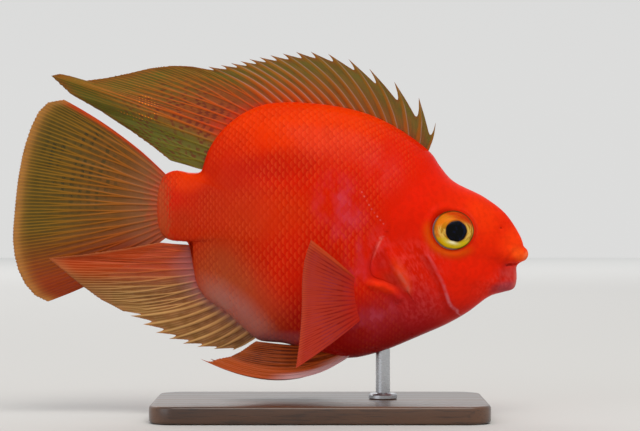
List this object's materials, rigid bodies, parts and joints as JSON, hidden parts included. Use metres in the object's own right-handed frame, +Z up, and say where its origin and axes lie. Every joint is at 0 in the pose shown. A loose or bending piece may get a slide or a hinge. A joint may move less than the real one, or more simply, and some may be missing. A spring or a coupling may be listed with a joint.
{
  "type": "blood parrot cichlid model on display stand",
  "caption": "Still, life-size model of a deep-bodied red aquarium fish with spread fins, held above a flat base by a short rod.",
  "frame": {"origin": "centre of the underside of the stand's base, which rests on the floor", "axes": "+X towards the fish's nose, +Y towards the fish's left side, +Z up"},
  "size_m": [0.1804, 0.068, 0.1275],
  "materials": {
    "flesh": "wet, scaled, red-orange skin",
    "fin": "thin orange-brown fin membrane over raised rays",
    "eye": "clear, wet eye with golden iris and dark pupil",
    "stand_wood": "dark satin-lacquered wood",
    "stand_steel": "fine brushed steel"
  },
  "bodies": {
    "root": {"head": "flesh", "lower_jaw": "flesh", "gill_cover_right": "flesh", "gill_cover_left": "flesh", "trunk": "flesh", "tail_stalk": "flesh", "dorsal_fin": "fin", "anal_fin": "fin", "caudal_fin": "fin", "pectoral_fin_right": "fin", "pectoral_fin_left": "fin", "pelvic_fin_right": "fin", "pelvic_fin_left": "fin", "eye_right": "eye", "eye_left": "eye", "stand_base": "stand_wood", "stand_rod": "stand_steel"}
  },
  "joints": []
}
